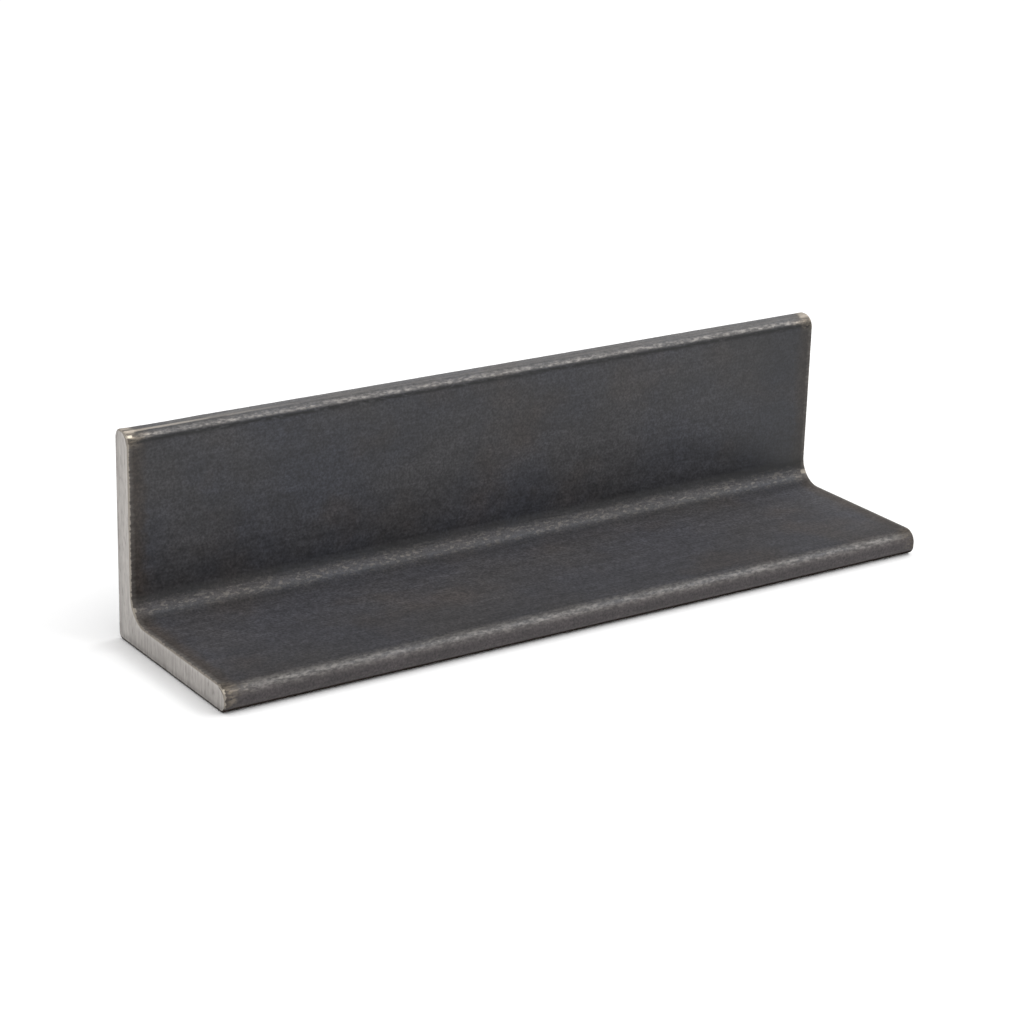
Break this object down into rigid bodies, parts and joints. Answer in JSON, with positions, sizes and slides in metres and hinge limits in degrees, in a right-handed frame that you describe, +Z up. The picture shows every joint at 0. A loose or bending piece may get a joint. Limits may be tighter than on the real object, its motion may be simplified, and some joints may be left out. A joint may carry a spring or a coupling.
{
  "type": "metal angle section",
  "caption": "Short length of hot-rolled steel equal angle, L-shaped, with a filleted inside corner, rounded toes and square-sawn ends.",
  "frame": {"origin": "on the floor, under the middle of the flat leg's width and of the bar's length", "axes": "+X along the bar, +Y out of the back of the upright leg, +Z up out of the flat leg's inner face"},
  "size_m": [0.195, 0.0508, 0.0508],
  "materials": {
    "hot_rolled_steel": "blue-grey mill scale as rolled, worn on the toes and the root fillet, with bare sawn ends"
  },
  "bodies": {
    "root": {"angle_section": "hot_rolled_steel"}
  },
  "joints": []
}
